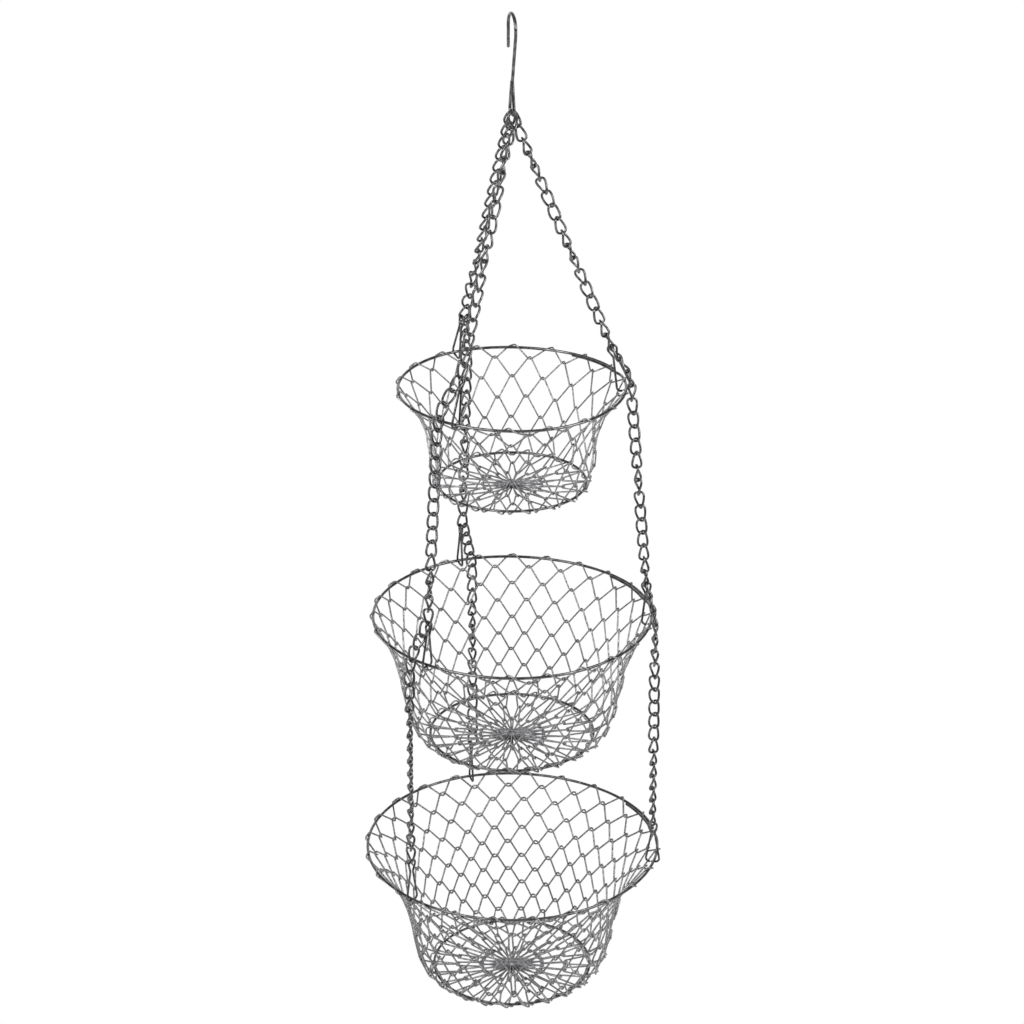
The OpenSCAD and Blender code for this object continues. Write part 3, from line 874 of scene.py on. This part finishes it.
# %% Links of the frame
def loose_parts(node):
    """The loose parts of a frame node, each as an array of points in millimetres."""
    mesh = frame["nodes"][node].data
    points = np.array([v.co for v in mesh.vertices]) / MM
    keys, inverse = np.unique(np.round(points, 2), axis=0, return_inverse=True)
    inverse = inverse.ravel()
    parent = np.arange(len(keys))

    def root(k):
        while parent[k] != k:
            parent[k] = parent[parent[k]]
            k = parent[k]
        return k

    for edge in mesh.edges:
        a, b = root(inverse[edge.vertices[0]]), root(inverse[edge.vertices[1]])
        if a != b:
            parent[a] = b
    roots = np.array([root(k) for k in range(len(keys))])
    return [keys[roots == r] for r in np.unique(roots)]


def link_places(node):
    """The middle and the way of each link of a node, from the highest to the lowest."""
    places = []
    for points in loose_parts(node):
        middle = (points.max(0) + points.min(0)) / 2
        way = np.linalg.svd(points - points.mean(0), full_matrices=False)[2][0]
        places.append((middle, way if way[2] < 0 else -way))
    return sorted(places, key=lambda place: -place[0][2])


# %% [markdown]
# ## How the chains turn
#
# Only the face of each link is chosen here. On a curb chain all faces look nearly the same way,
# and the whole chain turns slowly along its length. The table gives the turn of the face at some
# links of each side, counted down from the hook: 0 shows the face to the viewer and 90 the edge,
# and the links between follow evenly. The chain always turns the same way as its links are
# twisted, which is the way that curb links pack without biting. The links at a rim turn their
# face to the bowl.

# %% Turns of the faces
TURNS = {
    "right": (
        (0, -15), (17, -450), (20, -455), (21, -475), (22, -510), (24, -540), (26, -575),
        (27.5, -630), (29, -685), (31, -720), (33, -755), (35, -803), (39, -810),
        (40.5, -820), (42.5, -865), (44.5, -895), (47, -915), (49, -970), (54, -975),
    ),
    "front": (
        (0, -15), (1, -25), (3.3, -90), (6.4, -180), (9.5, -265), (11.5, -320), (17, -330),
        (21, -335), (26, -355), (30, -380), (33, -450), (35, -503), (39, -510),
        (43, -625), (51, -640), (54, -675),
    ),
    "back": (
        (0, -15), (5, -20), (8, -35), (11, -60), (13, -95), (15, -150), (17, -208),
        (21, -212), (27, -220), (35, -562), (39, -565), (42, -580), (46, -650),
        (50, -700), (54, -735),
    ),
}


def faces_of(places, side, first):
    """The way each link's face looks: turned about the chain from the viewer's side."""
    faces = []
    numbers, turns = zip(*TURNS[side])
    for k, (middle, way) in enumerate(places):
        turn = math.radians(np.interp(first + k, numbers, turns))
        to_viewer = np.array([0.0, -1.0, 0.0])
        front = unit(to_viewer - (to_viewer @ way) * way)
        faces.append(math.cos(turn) * front + math.sin(turn) * np.cross(way, front))
    return faces


# %% [markdown]
# ## The links
#
# Each stretch of chain is one frame node and stays one piece. The links are a tenth stouter than
# in the solids, where round wire has to leave room to swing.

# %% The chains
LINK_TWIST, LINK_FULLNESS, LINK_STOUTNESS = 1.8, 0.15, 1.1
LINK_STEPS, LINK_SIDES = 28, 8
STRETCHES = (
    ("upper_chain_{}", "top_tier"),
    ("top_anchor_{}", "top_tier"),
    ("mid_chain_{}", "mid_chain_{}"),
    ("mid_anchor_{}", "mid_tier"),
    ("low_chain_{}", "low_chain_{}"),
    ("low_anchor_{}", "low_tier"),
)


def chain_object(node, body, side, first):
    """One chain of twisted links in place of a frame node; returns the next link's number."""
    places = link_places(node)
    sizes = {
        "Half length": (LINK_LENGTH - LINK_WIRE) / 2 * MM,
        "Half width": (LINK_WIDTH - LINK_WIRE) / 2 * MM,
        "Twist": LINK_TWIST * MM,
        "Fullness": LINK_FULLNESS,
        "Wire radius": LINK_STOUTNESS * LINK_WIRE / 2 * MM,
        "Steps": LINK_STEPS,
        "Sides": LINK_SIDES,
        "Finish": CHAIN_STEEL,
    }
    middles, ways = zip(*places)
    attributes = {"runs": ways, "looks": faces_of(places, side, first)}
    links = grow(node + "_links", LINK_TREE, sizes, middles, attributes=attributes)
    hand_over(links, node, body, "chain")
    return first + len(places)


for side in SIDES:
    number = 0
    for node, body in STRETCHES:
        number = chain_object(node.format(side), body.format(side), side, number)
    print(side, "has", number, "links")

# %% [markdown]
# ## Light
#
# Plating shows whatever stands around it. White paper hangs far behind the basket and lies on the
# floor below it, and the rest of the room is grey and a little lighter overhead. So a wire is light
# where it runs to the back and dark where it crosses the view. The eye itself sees white paper
# everywhere, and whatever isn't a mirror gets an even light.

# %% What the metal sees
ROOM_GREY, CEILING_GREY = 0.2, 0.5
# Each row is an axis of the reflected way, where a step begins and ends, and its two strengths
ROOM_STEPS = {
    "paper behind": ("Y", 0.55, 0.88, 0.0, 1.0),
    "ceiling": ("Z", 0.6, 0.9, ROOM_GREY, CEILING_GREY),
}
world = bpy.data.worlds.new("studio")
bpy.context.scene.world = world
tree = empty_nodes(world)
toward = put(tree, "ShaderNodeTexCoord").outputs["Generated"]
direction = put(tree, "ShaderNodeSeparateXYZ", feeds={0: toward})
brightest = 0.0
for name, (axis, begins, ends, lower, upper) in ROOM_STEPS.items():
    step = put(
        tree,
        "ShaderNodeMapRange",
        {"interpolation_type": "SMOOTHSTEP"},
        {
            "Value": direction.outputs[axis],
            "From Min": begins,
            "From Max": ends,
            "To Min": lower,
            "To Max": upper,
        },
    )
    strengths = {0: brightest, 1: step.outputs["Result"]}
    brightest = put(tree, "ShaderNodeMath", {"operation": "MAXIMUM"}, strengths).outputs[0]
    print(name, "goes from", lower, "to", upper)

# %% What each ray sees
AMBIENT = 0.6  # strength of the even light on whatever isn't a mirror
WHITE = linear("#FFFFFF")
ambient, room, paper = (
    put(tree, "ShaderNodeBackground", feeds={"Color": WHITE, "Strength": strength})
    for strength in (AMBIENT, brightest, 1.0)
)
rays = put(tree, "ShaderNodeLightPath")
seen_in_metal = put(
    tree,
    "ShaderNodeMath",
    {"operation": "MAXIMUM"},
    {0: rays.outputs["Is Glossy Ray"], 1: rays.outputs["Is Transmission Ray"]},
)
mixed = put(
    tree,
    "ShaderNodeMixShader",
    feeds={0: seen_in_metal.outputs[0], 1: ambient.outputs[0], 2: room.outputs[0]},
)
shown = put(
    tree,
    "ShaderNodeMixShader",
    feeds={0: rays.outputs["Is Camera Ray"], 1: mixed.outputs[0], 2: paper.outputs[0]},
)
put(tree, "ShaderNodeOutputWorld", feeds={"Surface": shown.outputs[0]})
print("world", world.name, "has", len(tree.nodes), "nodes")

# %% [markdown]
# Two large soft lamps stand in front, left and right of the basket, the left one stronger. They
# put a soft highlight on the wires' near sides.

# %% Lamps
LAMP_TARGET = (0.0, 0.0, -0.3)
# Place in metres, width of the square in metres, and watts
LAMPS = {"key_lamp": ((-0.8, -0.9, 0.45), 0.9, 14), "fill_lamp": ((0.95, -0.5, 0.25), 0.7, 8)}
for name, (place, size, watts) in LAMPS.items():
    lamp = bpy.data.lights.new(name, "AREA")
    lamp.shape, lamp.size, lamp.energy = "SQUARE", size, watts
    stand = in_scene(name, lamp)
    stand.location = place
    aim = Vector(LAMP_TARGET) - Vector(place)
    stand.rotation_euler = aim.to_track_quat("-Z", "Y").to_euler()
    print(name, "stands", round(aim.length, 2), "m away")

# %% [markdown]
# ## Floor
#
# A pale floor lies well below the basket. To the camera and in the metal it is white paper; for
# every other ray it is a plain pale surface that can take a shadow.

# %% Floor
FLOOR_Z, FLOOR_REACH = -1.55, 6.0  # metres
corners = [
    (x * FLOOR_REACH, y * FLOOR_REACH, FLOOR_Z) for x, y in ((-1, -1), (1, -1), (1, 1), (-1, 1))
]
floor_mesh = bpy.data.meshes.new("paper_floor")
floor_mesh.from_pydata(corners, [], [(0, 1, 2, 3)])
floor_paper = bpy.data.materials.new("matt_white_paper")
tree = empty_nodes(floor_paper)
rays = put(tree, "ShaderNodeLightPath")
pale = put(tree, "ShaderNodeBsdfDiffuse", feeds={"Color": linear("#F4F4F2")})
glow = put(tree, "ShaderNodeEmission", feeds={"Color": WHITE, "Strength": 1.0})
seen = rays.outputs["Is Camera Ray"]
for other in ("Is Glossy Ray", "Is Transmission Ray"):
    either = {0: seen, 1: rays.outputs[other]}
    seen = put(tree, "ShaderNodeMath", {"operation": "MAXIMUM"}, either).outputs[0]
paper_mix = put(
    tree, "ShaderNodeMixShader", feeds={0: seen, 1: pale.outputs[0], 2: glow.outputs[0]}
)
put(tree, "ShaderNodeOutputMaterial", feeds={"Surface": paper_mix.outputs[0]})
floor_mesh.materials.append(floor_paper)
in_scene("paper_floor", floor_mesh)
print("floor at", FLOOR_Z, "m")

# %% [markdown]
# ## Camera
#
# The lens and the tilt were worked out from the three rims: one pinhole that sees all three
# ellipses as the photograph does.

# %% Camera
LENS, SENSOR, FAR = 107.62, 36.0, 50.0
TILT = 23.893  # degrees below the level
CAMERA_AWAY, CAMERA_ABOVE = 2.4946, 0.98528  # metres from the axis, and above the top rim
camera_data = bpy.data.cameras.new("camera")
camera_data.sensor_width, camera_data.lens, camera_data.clip_end = SENSOR, LENS, FAR
camera = in_scene("camera", camera_data)
camera.location = (0.0, -CAMERA_AWAY, BOWLS["top"]["z"] * MM + CAMERA_ABOVE)
camera.rotation_euler = (math.radians(90 - TILT), 0.0, 0.0)
bpy.context.scene.camera = camera
bpy.context.scene.view_settings.view_transform = "Standard"
print("camera looks", TILT, "degrees down through a lens of", LENS, "mm")
